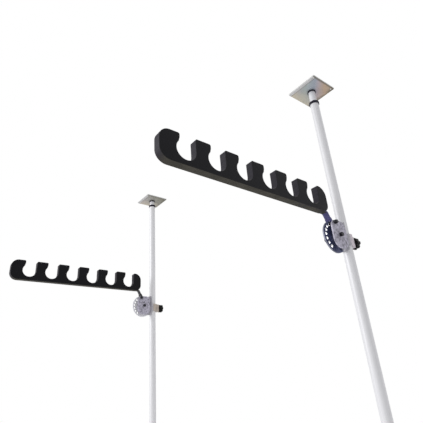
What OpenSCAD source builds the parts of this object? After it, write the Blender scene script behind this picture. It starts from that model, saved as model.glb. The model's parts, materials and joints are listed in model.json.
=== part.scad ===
// Overhead rod rack: two floor-to-ceiling poles, each with a clamp that
// carries a folding arm and a slotted board under the ceiling.
// Origin: floor point under the front pole. +X away from the boards' free
// ends, +Y from the front pole to the back pole, +Z up. Millimetres.

/* [Room] */
// Floor to ceiling
room_h = 2200; // [2000:10:2500]
// Distance between the two poles, front to back
pole_gap = 910; // [800:5:1400]
// How far the back pole stands towards the boards' free ends
pole_shift = 57; // [0:1:120]

/* [Poles] */
// Outside diameter of the outer tube
pole_d = 25.4; // [24:0.1:28]
// Wall of the outer tube
pole_wall = 1.6; // [1.2:0.1:2]
// Wall of the inner tube
inner_wall = 1.5; // [1:0.1:2]
// Wall of the collar's guide bush between the two tubes
bush_wall = 0.75; // [0.6:0.05:1]
// Length of that guide bush
bush_l = 25; // [15:1:40]
// Inner tube showing under the front ceiling plate
front_stub = 44; // [25:1:90]
// Inner tube showing under the back ceiling plate
back_stub = 24; // [20:1:90]
// Inner tube hidden inside the outer tube
inner_overlap = 200; // [150:5:300]
// Height of the black end collar
collar_h = 8; // [6:0.5:14]
// How far the collar stands out of the tube
collar_lip = 2.3; // [1.5:0.1:4]
// Collar's rim above the tube's end
collar_cap = 2; // [1.5:0.5:4]
// Length of the hidden tension spring
spring_l = 150; // [100:5:200]
// Thickness of that spring's wire
spring_wire = 2.5; // [2:0.1:3]
// Height of the plug that the spring stands on
seat_h = 12; // [8:1:20]

/* [Plates] */
// Side of the square end plates
plate_w = 100; // [80:1:130]
// Thickness of the end plates
plate_t = 4; // [3:0.5:6]
// Corner radius of the end plates
plate_r = 3; // [2:0.5:8]
// Diameter of the four screw holes in a plate
plate_hole_d = 5.5; // [4:0.5:7]
// Hole centre from the plate's edges
plate_inset = 8; // [6:0.5:14]
// Height of the ring that seats the inner tube
ring_h = 5; // [4:0.5:8]
// Height of the floor socket
socket_h = 22; // [15:1:40]
// Wall of both rings
ring_wall = 2.2; // [1.5:0.1:4]

/* [Clamp] */
// Ceiling plate's underside to the pivot bolt
rack_drop = 496; // [400:1:700]
// Thickness of the liner, a split bush in the clamp's band
liner_t = 2; // [1.5:0.1:2.5]
// Height of the liner
liner_h = 24; // [20:0.5:25]
// Wall of the band round the liner
saddle_wall = 4; // [3:0.5:5]
// Saddle's top above the pivot
saddle_up = 43; // [28:1:46]
// Saddle's bottom below the pivot
saddle_down = 32; // [28:1:36]
// Saddle's side edges from the pole's axis, towards the disc
saddle_edge = 12; // [8:0.5:14]
// Height of the band that goes all round the pole
band_h = 30; // [28:1:36]
// Band's centre below the pivot
band_drop = 4; // [3:1:12]
// End of the knob's boss from the pole's axis
boss_x = 26; // [25:0.5:34]
// Width of the boss
boss_w = 18; // [16:0.5:24]
// Diameter of the pressure pad
pad_d = 12; // [10:0.5:14]
// Thickness of the pressure pad
pad_t = 3; // [2.5:0.1:3.5]
// How far the knob draws the pad back
pad_travel = 3; // [2:0.1:3]
// Diameter of the stud
stud_d = 8; // [6:0.5:9]
// Knob's outside diameter
knob_d = 31; // [26:0.5:33]
// Knob's length without its hub
knob_l = 15; // [8:0.5:20]
// Number of finger scallops
knob_lobes = 7; // [5:1:9]
// Diameter of a scallop
scallop_d = 9; // [7:0.5:12]
// Knob hub's diameter
hub_d = 16; // [14:0.5:20]
// Knob hub's length
hub_l = 2; // [1.5:0.5:7]
// Gap between the tightened knob's hub and the boss
knob_gap = 1; // [0.5:0.1:2]

/* [Index disc] */
// Pole axis to the pivot bolt
pivot_x = 48.5; // [48:0.5:52]
// Diameter of the index disc
disc_d = 84; // [80:1:86]
// Thickness of the disc
disc_t = 4; // [3:0.5:6]
// Disc's straight edge from the pivot, towards the pole
disc_cut = 28; // [26:0.5:29]
// Radius of the row of index holes
index_r = 34; // [32:0.1:34.5]
// Diameter of an index hole
index_d = 8; // [7:0.1:8.4]
// Index holes past the rest one, for an arm tilted up
index_up = 1; // [0:1:2]
// Index holes past the rest one, for an arm folded down
index_down = 6; // [3:1:6]
// Angle from index hole to index hole, degrees
index_step = 20; // [19:0.5:24]
// Width of the clamp's disc holder
holder_w = 16; // [14:1:18]
// Length of the disc held in the holder
holder_grip = 9; // [8:0.5:10]
// Diameter of the disc's screws
disc_screw_d = 4; // [3:0.5:5]
// Those screws above and below the pivot
disc_screw_z = 14; // [10:1:18]

/* [Arm] */
// Diameter of the pivot bolt
pivot_d = 6; // [5:0.5:8]
// Distance between the two cheeks
cheek_gap = 31; // [26.8:0.1:32]
// Thickness of a cheek
cheek_t = 4; // [3:0.5:5]
// Half width of the near cheek
cheek_w = 28; // [26:0.5:30]
// Near cheek above the pivot
cheek_up = 38; // [36:0.5:40]
// Near cheek below the pivot
cheek_down = 35.5; // [32:0.5:35.5]
// Corner radius of the near cheek's top
cheek_r = 19; // [16:0.5:20]
// Corner radius of its bottom, which swings past the clamp
cheek_low_r = 24; // [23:0.5:25]
// Far cheek's radius at the pivot
far_low_r = 12; // [11:0.5:14]
// Far cheek's radius at its screws
far_top_r = 9; // [8.5:0.5:10]
// Arm's lean from upright, degrees
arm_lean = 28; // [20:1:35]
// Arm's centre line from the pivot
arm_off = 14; // [12:0.5:14]
// Width of the flat bar
bar_w = 16; // [14:0.5:18]
// Thickness of the flat bar
bar_t = 4; // [3:0.5:6]
// Radius of the bend, at the bar's middle
bend_r = 8; // [6:0.5:10]
// Thickness of the fork
fork_t = 8; // [7:0.5:9]
// Fork's open end, along the arm from the pivot
fork_low = 10; // [8:0.5:12]
// Height of the fork's bridge over the disc
bridge_h = 6; // [4:0.5:10]
// Lower cheek screw, along the arm from the pivot
screw_low = 17; // [15:0.5:18]
// Distance between two cheek screws
screw_step = 11; // [10:0.5:12]
// Fork's full width ends this far above the upper screw
shoulder_up = 4; // [3:0.5:5]
// Gap on each side of the disc in the fork
fork_gap = 0.5; // [0.4:0.1:1]
// Gap over the disc's edge in the fork
root_gap = 0.5; // [0.4:0.1:1]
// Straight foot let into the board's underside
foot_l = 112; // [100:1:140]
// Diameter of the arm's small screws
arm_screw_d = 4; // [3:0.5:4.5]
// Depth of the cheek screws in the fork
arm_screw_l = 8; // [6:0.5:9]
// Pivot head's thickness
bolt_head = 7; // [4:0.5:9]
// Width of the pivot's hexagons across corners
bolt_hex = 11; // [10.5:0.5:14]

/* [Index pin] */
// Angle of the index pin round the pivot, degrees
pin_angle = 114; // [113:1:120]
// Barrel's outside diameter
barrel_d = 9; // [8.6:0.1:9.6]
// Barrel's flange diameter
flange_d = 10.5; // [10:0.5:14]
// Barrel in front of the cheek
flange_l = 5.5; // [5:0.5:8]
// Pin's shank diameter
shank_d = 4.4; // [3.6:0.1:4.6]
// Diameter of the pin's nose
nose_d = 6; // [5:0.1:6.2]
// Wall of the barrel
barrel_wall = 1.1; // [0.8:0.1:1.4]
// Length of the pin's nose
nose_l = 5.4; // [5:0.1:6]
// Pull head's thickness
pull_t = 3; // [2.6:0.2:5]

/* [Rack board] */
// Length of a board
board_l = 497; // [480:1:560]
// Height of a board
board_h = 70; // [66:1:80]
// Thickness of a board
board_t = 19; // [18:0.5:25]
// Board's end from the pole's axis
board_end = 60; // [58:1:66]
// Board's underside above the pivot
board_rise = 62; // [56:0.5:66]
// Number of slots
slot_n = 6; // [3:1:6]
// Distance from slot to slot
slot_pitch = 76.2; // [66:0.2:77]
// First slot's centre from the free end
slot_first = 61; // [50:0.5:66]
// Diameter of a slot's round bottom
slot_d = 46; // [40:0.5:48]
// Solid board under a slot
slot_floor = 12.5; // [10:0.5:18]
// How far a post's lip hangs over its slot
lip_over = 8; // [4:0.5:10]
// Lip's point below the board's top
lip_drop = 10; // [7:0.5:14]
// Corner radius of the posts' tops
post_r = 4; // [2:0.5:6]
// Radius of the free end's top corner
end_top_r = 24; // [15:1:26]
// Radius of the free end's bottom corner
end_low_r = 25; // [15:1:30]
// Radius of the pole end's top corner
near_top_r = 26; // [15:1:26]
// Radius of the pole end's bottom corner
near_low_r = 22; // [8:1:25]
// Depth of the board screws
board_screw_l = 18; // [12:1:20]

/* [Fits] */
// Radial gap of a part that turns or slides
run = 0.05; // [0.02:0.01:0.09]
// Gap beside a turning face
side_gap = 0.1; // [0.1:0.05:0.3]
// Gap where curved parts only pass each other
pass_gap = 0.3; // [0.3:0.05:0.5]

/* [Hidden] */
$fn = 96;

eps = 0.5;                       // how far a cutter runs past a face
turn = 360;

// poles
pole_r = pole_d / 2;
pole_bore = pole_r - pole_wall;
inner_r = pole_bore - bush_wall - run;
plate_z = room_h - plate_t;      // underside of the ceiling plates
pivot_z = plate_z - rack_drop;
plate_hole_at = plate_w / 2 - plate_inset;
spring_r = inner_r;

// clamp
liner_in = pole_r + run;
liner_out = liner_in + liner_t;
saddle_in = liner_out + run;
saddle_out = saddle_in + saddle_wall;
band_z = -band_drop;
stud_r = stud_d / 2;
pad_r = pad_d / 2;
pad_x = liner_out + run;
pad_socket = pad_t / 2;          // depth at which the stud's end sits in the pad
knob_x = boss_x + knob_gap;
knob_cap = 3;                    // closed outer end of the knob
knob_grip = hub_l + knob_l - knob_cap;
slit_w = 2;                      // slit of the liner

// disc and its holder
disc_r = disc_d / 2;
holder_x = pivot_x - disc_cut + holder_grip;
holder_over = 2;                 // holder's height beyond the disc's edge
holder_h = 2 * sqrt(disc_r * disc_r - disc_cut * disc_cut) + holder_over;
disc_screw_x = pivot_x - disc_cut + holder_grip / 2;
screw_head_h = 3;
screw_head_d = 1.75;             // small screws' head over their shank

// arm
pivot_r = pivot_d / 2;
cheek_in = cheek_gap / 2;
cheek_out = cheek_in + cheek_t;
spacer_wall = 4;
spacer_r = pivot_r + spacer_wall;
slot_half = disc_t / 2 + fork_gap;
fork_root = sqrt(pow(disc_r + root_gap, 2) - pow(arm_off - fork_t / 2, 2));
bridge_top = fork_root + bridge_h;
screw_high = screw_low + screw_step;
shoulder = screw_high + shoulder_up;
far_lean = 1;                    // far cheek's top from the pivot, towards the pole
foot_z = board_rise + bar_t / 2; // middle of the foot's thickness
bend_ease = 0.1;                 // the bend's arcs cross the flats at a slight angle
bend_z = foot_z - bend_r;
bend_x = (arm_off - bend_r - bend_z * sin(arm_lean)) / cos(arm_lean);
// length along the leaning bar at which the bend starts
bend_s = -bend_x * sin(arm_lean) + bend_z * cos(arm_lean);
foot_screws = [24, 86, 104];     // from the board's pole end

// index pin
pin_x = index_r * cos(pin_angle);
pin_z = index_r * sin(pin_angle);
barrel_in = 7;                   // barrel's inner end from the disc's middle
chamber_r = barrel_d / 2 - barrel_wall;
flange_y = cheek_out + flange_l;
cap_t = 3;                       // closed end of the barrel
pull_step = 1;                   // pull head's step in from the flange
nose_tip = disc_t / 2 + pass_gap;
collar_y = nose_tip + nose_l;
collar_t = 1.2;

// board
slot_r = slot_d / 2;
slot_z = slot_floor + slot_r;
mouth_x = lip_over - slot_r;     // lip's point from the slot's middle
mouth_z = board_h - lip_drop;
lip_bite = 2.3;                  // lip's underside runs this far into the round

// colours
satin_tube = [0.80, 0.80, 0.84];
bright_tube = [0.88, 0.88, 0.92];
steel = [0.66, 0.64, 0.60];
black = [0.06, 0.06, 0.07];
slate = [0.27, 0.30, 0.42];        // front disc and arm
graphite = [0.25, 0.25, 0.27];     // back arm
pale_coat = [0.78, 0.78, 0.84];    // back disc
light_metal = [0.70, 0.69, 0.75];

// a plate drawn in x and z, from y0 to y1
module flat_y(y0, y1)
    translate([0, y1, 0]) rotate([90, 0, 0]) linear_extrude(y1 - y0) children();

// round bar along Y at (x, z)
module rod_y(r, y0, y1, x, z)
    translate([x, y1, z]) rotate([90, 0, 0]) cylinder(r = r, h = y1 - y0);

// round bar along X at (y, z)
module rod_x(r, x0, x1, y, z)
    translate([x0, y, z]) rotate([0, 90, 0]) cylinder(r = r, h = x1 - x0);

// hexagon along Y at the pivot
module hex_y(y0, y1)
    translate([-pivot_x, y1, 0]) rotate([90, 0, 0])
        cylinder(d = bolt_hex, h = y1 - y0, $fn = 6);

// what has to be cut off a square corner to round it
module corner_cut(r)
    difference() {
        translate([-eps, -eps]) square(r + eps);
        translate([r, r]) circle(r);
    }

// places a cheek or fork screw: steps along the leaning arm
module along_arm()
    translate([-pivot_x, 0, 0]) rotate([0, -arm_lean, 0]) children();

module at_front() children();

module at_back() translate([-pole_shift, pole_gap, 0]) children();

module at_clamp() translate([0, 0, pivot_z]) children();

module square_plate()
    difference() {
        linear_extrude(plate_t) difference() {
            square(plate_w, center = true);
            for (a = [0, 90, 180, 270]) rotate(a)
                translate([-plate_w / 2, -plate_w / 2]) corner_cut(plate_r);
        }
        for (x = [-1, 1], y = [-1, 1])
            translate([x * plate_hole_at, y * plate_hole_at, -eps])
                cylinder(d = plate_hole_d, h = plate_t + 2 * eps);
    }

// outer tube, standing on the floor plate
module outer_tube(stub)
    color(satin_tube)
    translate([0, 0, plate_t]) difference() {
        cylinder(r = pole_r, h = plate_z - stub - collar_cap - plate_t);
        translate([0, 0, -eps]) cylinder(r = pole_bore, h = room_h);
    }

// inner tube, up to the ceiling plate
module inner_tube(stub)
    color(bright_tube)
    translate([0, 0, plate_z - stub - inner_overlap]) difference() {
        cylinder(r = inner_r, h = stub + inner_overlap);
        translate([0, 0, -eps])
            cylinder(r = inner_r - inner_wall, h = room_h);
    }

// black end collar with a guide bush inside the outer tube
module collar(stub) {
    top = plate_z - stub;
    tube_end = top - collar_cap;
    color(black) difference() {
        union() {
            translate([0, 0, top - collar_h])
                cylinder(r = pole_r + collar_lip, h = collar_h);
            translate([0, 0, tube_end - bush_l])
                cylinder(r = pole_bore, h = bush_l);
        }
        translate([0, 0, top - collar_h - eps]) difference() {
            cylinder(r = pole_r, h = collar_h - collar_cap + eps);
            cylinder(r = pole_bore, h = collar_h);
        }
        translate([0, 0, tube_end - bush_l - eps])
            cylinder(r = inner_r + run, h = bush_l + collar_cap + 2 * eps);
    }
}

module ceiling_plate()
    color(steel) translate([0, 0, plate_z]) square_plate();

// ring that seats the inner tube under the ceiling plate
module ceiling_ring()
    color(black) translate([0, 0, plate_z - ring_h]) difference() {
        cylinder(r = inner_r + ring_wall, h = ring_h);
        translate([0, 0, -eps]) cylinder(r = inner_r, h = ring_h + 2 * eps);
    }

// hidden spring, as the sleeve that its coils fill
module tension_spring(stub)
    color(steel)
    translate([0, 0, plate_z - stub - inner_overlap - spring_l]) difference() {
        cylinder(r = spring_r, h = spring_l);
        translate([0, 0, -eps])
            cylinder(r = spring_r - spring_wire, h = spring_l + 2 * eps);
    }

module spring_seat(stub)
    color(black)
    translate([0, 0, plate_z - stub - inner_overlap - spring_l - seat_h])
        cylinder(r = pole_bore, h = seat_h);

module foot_plate()
    color(steel) square_plate();

module foot_socket()
    color(black) translate([0, 0, plate_t]) difference() {
        cylinder(r = pole_r + ring_wall, h = socket_h);
        translate([0, 0, -eps]) cylinder(r = pole_r, h = socket_h + 2 * eps);
    }

// split bush that slides on the pole and lets the clamp swivel
module clamp_liner()
    color(black) translate([0, 0, band_z]) difference() {
        cylinder(r = liner_out, h = liner_h, center = true);
        cylinder(r = liner_in, h = liner_h + 2 * eps, center = true);
        translate([-room_h, -slit_w / 2, -liner_h])
            cube([room_h, slit_w, 2 * liner_h]);
    }

// saddle behind the pole, band round it, boss for the stud and disc holder
module clamp_body()
    color(light_metal) difference() {
        union() {
            translate([0, 0, -saddle_down]) intersection() {
                cylinder(r = saddle_out, h = saddle_up + saddle_down);
                translate([-room_h, -room_h / 2, 0])
                    cube([room_h - saddle_edge, room_h, room_h]);
            }
            translate([0, 0, band_z]) {
                cylinder(r = saddle_out, h = band_h, center = true);
                translate([0, -boss_w / 2, -band_h / 2])
                    cube([boss_x, boss_w, band_h]);
            }
            translate([-holder_x, -holder_w / 2, -holder_h / 2])
                cube([holder_x - saddle_in, holder_w, holder_h]);
        }
        cylinder(r = pole_r + pass_gap, h = room_h, center = true);
        translate([0, 0, band_z])
            cylinder(r = saddle_in, h = liner_h + 2 * side_gap, center = true);
        rod_x(pad_r + run, 0, pad_x + pad_t + pad_travel + side_gap, 0, band_z);
        rod_x(stud_r + run, 0, boss_x + eps, 0, band_z);
        translate([-holder_x - eps, -disc_t / 2, -holder_h])
            cube([holder_grip + eps, disc_t, 2 * holder_h]);
        for (s = [-1, 1])
            rod_y(disc_screw_d / 2, -holder_w, holder_w,
                  -disc_screw_x, s * disc_screw_z);
    }

// pad that presses the liner onto the pole, with a socket for the stud
module pressure_pad()
    color(steel) difference() {
        rod_x(pad_r, pad_x, pad_x + pad_t, 0, band_z);
        rod_x(stud_r + run, pad_x + pad_socket, pad_x + pad_t + eps, 0, band_z);
    }

// threaded stud, fixed in the knob
module clamp_stud()
    color(steel)
    rod_x(stud_r, pad_x + pad_socket, knob_x + knob_grip, 0, band_z);

// lobed knob that turns the stud through the boss
module knob() {
    face_x = knob_x + hub_l;
    color(black) difference() {
        union() {
            rod_x(hub_d / 2, knob_x, face_x + eps, 0, band_z);
            rod_x(knob_d / 2, face_x, face_x + knob_l, 0, band_z);
        }
        rod_x(stud_r, knob_x - eps, knob_x + knob_grip, 0, band_z);
        for (k = [0 : knob_lobes - 1])
            translate([0, 0, band_z]) rotate([turn * k / knob_lobes, 0, 0])
                rod_x(scallop_d / 2, face_x - eps, face_x + knob_l + eps,
                      knob_d / 2 + scallop_d / 4, 0);
    }
}

// round plate with a row of index holes, fixed to the clamp
module index_disc(coat)
    color(coat) flat_y(-disc_t / 2, disc_t / 2) difference() {
        translate([-pivot_x, 0]) difference() {
            circle(disc_r);
            circle(pivot_r + run);
            translate([disc_cut, -disc_r]) square(2 * disc_r);
            for (k = [-index_up : index_down])
                rotate(pin_angle + k * index_step) translate([index_r, 0])
                    circle(d = index_d);
        }
        for (s = [-1, 1])
            translate([-disc_screw_x, s * disc_screw_z])
                circle(d = disc_screw_d);
    }

module disc_screws()
    color(black) for (s = [-1, 1]) {
        rod_y(disc_screw_d / 2, -holder_w / 2 - eps, holder_w / 2,
              -disc_screw_x, s * disc_screw_z);
        rod_y(disc_screw_d / 2 * screw_head_d, -holder_w / 2 - screw_head_h,
              -holder_w / 2, -disc_screw_x, s * disc_screw_z);
    }

// leaning bar and foot from the side, round the bend's centre
module bent_bar() {
    outside = bend_r + bar_t / 2;
    inside = bend_r - bar_t / 2;
    leg = (bend_s - bridge_top + eps) * [sin(arm_lean), -cos(arm_lean)];
    out = [cos(arm_lean), sin(arm_lean)];
    corner = [tan(45 - arm_lean / 2), 1];
    difference() {
        polygon([[-foot_l, outside], outside * corner, outside * out + leg,
                 inside * out + leg, inside * corner, [-foot_l, inside]]);
        difference() {
            polygon([[0, 0], [0, 2 * outside], 2 * outside * corner, 2 * outside * out]);
            circle(outside + bend_ease);
        }
    }
    difference() {
        polygon([[0, 0], [0, bend_r], bend_r * corner, bend_r * out]);
        circle(inside + bend_ease);
    }
}

// fork astride the disc, leaning flat bar, bend and foot in one piece
module arm(coat)
    color(coat) difference() {
        union() {
            along_arm() {
                translate([arm_off - fork_t / 2, -cheek_in, fork_low])
                    cube([fork_t, cheek_gap, shoulder - fork_low]);
                translate([arm_off - fork_t / 2, -bar_w / 2, fork_low])
                    cube([fork_t, bar_w, bridge_top - fork_low]);
            }
            flat_y(-bar_w / 2, bar_w / 2)
                translate([bend_x - pivot_x, bend_z]) bent_bar();
        }
        along_arm() {
            translate([arm_off - fork_t, -slot_half, 0])
                cube([2 * fork_t, 2 * slot_half, fork_root]);
            for (s = [-1, 1], z = [screw_low, screw_high])
                rod_y(arm_screw_d / 2, s > 0 ? cheek_in - arm_screw_l : -cheek_in - eps,
                      s > 0 ? cheek_in + eps : arm_screw_l - cheek_in, arm_off, z);
        }
        for (x = foot_screws) translate([-board_end - x, 0, board_rise]) {
            cylinder(d = arm_screw_d, h = 2 * bar_t);
            translate([0, 0, -eps]) cylinder(d = 2 * arm_screw_d, h = bar_t / 2 + eps);
        }
    }

// wide cheek that carries the index pin
module cheek_outline()
    translate([-pivot_x, 0]) difference() {
        translate([-cheek_w, -cheek_down])
            square([2 * cheek_w, cheek_up + cheek_down]);
        for (s = [0, 1]) mirror([s, 0]) {
            translate([-cheek_w, -cheek_down]) corner_cut(cheek_low_r);
            translate([-cheek_w, cheek_up]) mirror([0, 1]) corner_cut(cheek_r);
        }
        circle(pivot_r);
    }

// narrow far cheek, along the arm
module far_outline()
    difference() {
        hull() {
            translate([-pivot_x, 0]) circle(far_low_r);
            translate([-pivot_x + far_lean, screw_high]) circle(far_top_r);
        }
        translate([-pivot_x, 0]) circle(pivot_r);
    }

// countersunk screws that hold one cheek; s is -1 for the near side
module cheek_screw_pair(s, r, grow)
    along_arm() for (z = [screw_low, screw_high])
        translate([arm_off, s * (cheek_out + grow), z]) rotate([s * 90, 0, 0]) {
            cylinder(r = r, h = cheek_t + arm_screw_l + grow);
            cylinder(r1 = 2 * r, r2 = r, h = cheek_t / 2 + grow);
        }

module near_cheek()
    color(light_metal) difference() {
        flat_y(-cheek_out, -cheek_in) cheek_outline();
        cheek_screw_pair(-1, arm_screw_d / 2, 0);
        rod_y(barrel_d / 2, -2 * cheek_out, 0, pin_x - pivot_x, pin_z);
    }

module far_cheek()
    color(light_metal) difference() {
        flat_y(cheek_in, cheek_out) far_outline();
        cheek_screw_pair(1, arm_screw_d / 2, 0);
    }

module cheek_screws()
    color(light_metal) for (s = [-1, 1]) cheek_screw_pair(s, arm_screw_d / 2, 0);

module pivot_bolt()
    color(black) {
        hex_y(-cheek_out - bolt_head, -cheek_out);
        rod_y(pivot_r, -cheek_out - eps, cheek_out + bolt_head + eps, -pivot_x, 0);
    }

module pivot_nut()
    color(black) difference() {
        hex_y(cheek_out, cheek_out + bolt_head);
        rod_y(pivot_r, cheek_out - eps, cheek_out + bolt_head + eps, -pivot_x, 0);
    }

// two tubes on the bolt, between the disc and the cheeks
module pivot_spacers()
    color(steel) for (s = [0, 1]) mirror([0, s, 0]) difference() {
        rod_y(spacer_r, disc_t / 2 + side_gap, cheek_in, -pivot_x, 0);
        rod_y(pivot_r, 0, cheek_gap, -pivot_x, 0);
    }

// threaded barrel of the index pin, open towards the disc
module pin_barrel()
    color(black) translate([-pivot_x, 0, 0]) difference() {
        union() {
            rod_y(flange_d / 2, -flange_y, -cheek_out, pin_x, pin_z);
            rod_y(barrel_d / 2, -cheek_out - eps, -barrel_in, pin_x, pin_z);
        }
        rod_y(chamber_r, -flange_y + cap_t, 0, pin_x, pin_z);
        rod_y(shank_d / 2 + run, -flange_y - eps, 0, pin_x, pin_z);
    }

// sprung pull pin: nose, collar, shank and head
module index_pin()
    color(black) translate([-pivot_x, 0, 0]) {
        rod_y(nose_d / 2, -collar_y - eps, -nose_tip, pin_x, pin_z);
        rod_y(chamber_r - run, -collar_y - collar_t, -collar_y, pin_x, pin_z);
        rod_y(shank_d / 2, -flange_y - pull_t, -collar_y, pin_x, pin_z);
        rod_y(flange_d / 2 - pull_step, -flange_y - side_gap - pull_t, -flange_y - side_gap,
              pin_x, pin_z);
    }

// hidden spring, as the sleeve that its coils fill
module pin_spring()
    color(steel) translate([-pivot_x, 0, 0]) difference() {
        rod_y(chamber_r - 2 * run, -flange_y + cap_t, -collar_y - collar_t,
              pin_x, pin_z);
        rod_y(shank_d / 2 + run, -flange_y, 0, pin_x, pin_z);
    }

// round bottom, straight right side and a left side under the post's lip
module slot_cut() {
    up = mouth_z - slot_z;
    far = sqrt(mouth_x * mouth_x + up * up);
    touch = atan2(up, mouth_x) + acos(slot_r / far);
    translate([0, slot_z]) {
        circle(slot_r);
        polygon([[0, 0], (slot_r - lip_bite) * [cos(touch), sin(touch)],
                 [mouth_x, up], [mouth_x, board_h], [slot_r, board_h],
                 [slot_r, 0]]);
    }
    translate([mouth_x, board_h]) rotate(180) corner_cut(post_r);
    translate([slot_r, board_h]) mirror([0, 1]) corner_cut(post_r);
}

module board_outline()
    difference() {
        square([board_l, board_h]);
        corner_cut(end_low_r);
        translate([0, board_h]) mirror([0, 1]) corner_cut(end_top_r);
        translate([board_l, 0]) mirror([1, 0]) corner_cut(near_low_r);
        translate([board_l, board_h]) rotate(180) corner_cut(near_top_r);
        for (k = [0 : slot_n - 1])
            translate([slot_first + k * slot_pitch, 0]) slot_cut();
    }

// slotted board with a groove for the arm's foot
module board()
    color(black) difference() {
        flat_y(-board_t / 2, board_t / 2)
            translate([-board_end - board_l, board_rise]) board_outline();
        translate([bend_x - pivot_x - foot_l, -bar_w / 2, board_rise - eps])
            cube([room_h, bar_w, bar_t + eps]);
        for (x = foot_screws)
            translate([-board_end - x, 0, board_rise])
                cylinder(d = arm_screw_d, h = board_screw_l);
    }

module board_screws()
    color(steel) for (x = foot_screws)
        translate([-board_end - x, 0, board_rise]) {
            cylinder(d = arm_screw_d, h = board_screw_l);
            cylinder(d = 2 * arm_screw_d, h = bar_t / 2);
        }

at_front() outer_tube(front_stub);  // front_outer_tube
at_front() inner_tube(front_stub);  // front_inner_tube
at_front() collar(front_stub);  // front_collar
at_front() ceiling_plate();  // front_ceiling_plate
at_front() ceiling_ring();  // front_ceiling_ring
at_front() tension_spring(front_stub);  // front_tension_spring
at_front() spring_seat(front_stub);  // front_spring_seat
at_front() foot_plate();  // front_foot_plate
at_front() foot_socket();  // front_foot_socket
at_front() at_clamp() clamp_liner();  // front_clamp_liner
at_front() at_clamp() clamp_body();  // front_clamp_body
at_front() at_clamp() pressure_pad();  // front_pressure_pad
at_front() at_clamp() clamp_stud();  // front_clamp_stud
at_front() at_clamp() knob();  // front_knob
at_front() at_clamp() index_disc(slate);  // front_index_disc
at_front() at_clamp() disc_screws();  // front_disc_screws
at_front() at_clamp() arm(slate);  // front_arm
at_front() at_clamp() near_cheek();  // front_near_cheek
at_front() at_clamp() far_cheek();  // front_far_cheek
at_front() at_clamp() cheek_screws();  // front_cheek_screws
at_front() at_clamp() pivot_bolt();  // front_pivot_bolt
at_front() at_clamp() pivot_spacers();  // front_pivot_spacers
at_front() at_clamp() pivot_nut();  // front_pivot_nut
at_front() at_clamp() pin_barrel();  // front_pin_barrel
at_front() at_clamp() index_pin();  // front_index_pin
at_front() at_clamp() pin_spring();  // front_pin_spring
at_front() at_clamp() board();  // front_board
at_front() at_clamp() board_screws();  // front_board_screws
at_back() outer_tube(back_stub);  // back_outer_tube
at_back() inner_tube(back_stub);  // back_inner_tube
at_back() collar(back_stub);  // back_collar
at_back() ceiling_plate();  // back_ceiling_plate
at_back() ceiling_ring();  // back_ceiling_ring
at_back() tension_spring(back_stub);  // back_tension_spring
at_back() spring_seat(back_stub);  // back_spring_seat
at_back() foot_plate();  // back_foot_plate
at_back() foot_socket();  // back_foot_socket
at_back() at_clamp() clamp_liner();  // back_clamp_liner
at_back() at_clamp() clamp_body();  // back_clamp_body
at_back() at_clamp() pressure_pad();  // back_pressure_pad
at_back() at_clamp() clamp_stud();  // back_clamp_stud
at_back() at_clamp() knob();  // back_knob
at_back() at_clamp() index_disc(pale_coat);  // back_index_disc
at_back() at_clamp() disc_screws();  // back_disc_screws
at_back() at_clamp() arm(graphite);  // back_arm
at_back() at_clamp() near_cheek();  // back_near_cheek
at_back() at_clamp() far_cheek();  // back_far_cheek
at_back() at_clamp() cheek_screws();  // back_cheek_screws
at_back() at_clamp() pivot_bolt();  // back_pivot_bolt
at_back() at_clamp() pivot_spacers();  // back_pivot_spacers
at_back() at_clamp() pivot_nut();  // back_pivot_nut
at_back() at_clamp() pin_barrel();  // back_pin_barrel
at_back() at_clamp() index_pin();  // back_index_pin
at_back() at_clamp() pin_spring();  // back_pin_spring
at_back() at_clamp() board();  // back_board
at_back() at_clamp() board_screws();  // back_board_screws
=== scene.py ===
"""Looks of the rod rack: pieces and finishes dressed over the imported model.

Laid out as an add-on: sizes and colours are properties, each group of pieces
is an operator, and one panel lists them. Metres, in the model's own frame.
"""

import json
import math

import bmesh
import bpy
from bpy.props import FloatProperty, FloatVectorProperty, IntProperty, PointerProperty
from mathutils import Matrix, Vector

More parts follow.
